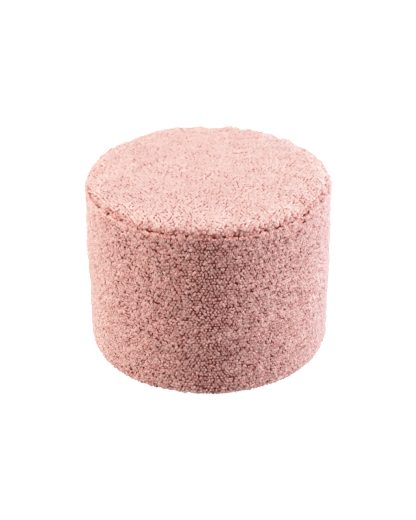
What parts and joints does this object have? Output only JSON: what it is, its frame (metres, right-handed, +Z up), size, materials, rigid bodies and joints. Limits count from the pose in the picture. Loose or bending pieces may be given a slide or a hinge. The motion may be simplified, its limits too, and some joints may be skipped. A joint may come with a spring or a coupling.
{
  "type": "round plush pouf",
  "caption": "Low round seat or footrest covered in short curly plush, firmly filled, with a crowned top panel sewn to a straight side band",
  "frame": {"origin": "on the floor, under the middle of the base", "axes": "+Z up, -Y towards the front, the upright seam of the side band at +Y"},
  "size_m": [0.3619, 0.3619, 0.2824],
  "materials": {
    "plush": "matt curly pile, rose pink",
    "base_cloth": "matt plain weave, pale dusty pink"
  },
  "bodies": {
    "root": {"top_panel": "plush", "side_band": "plush", "base_panel": "base_cloth"}
  },
  "joints": []
}
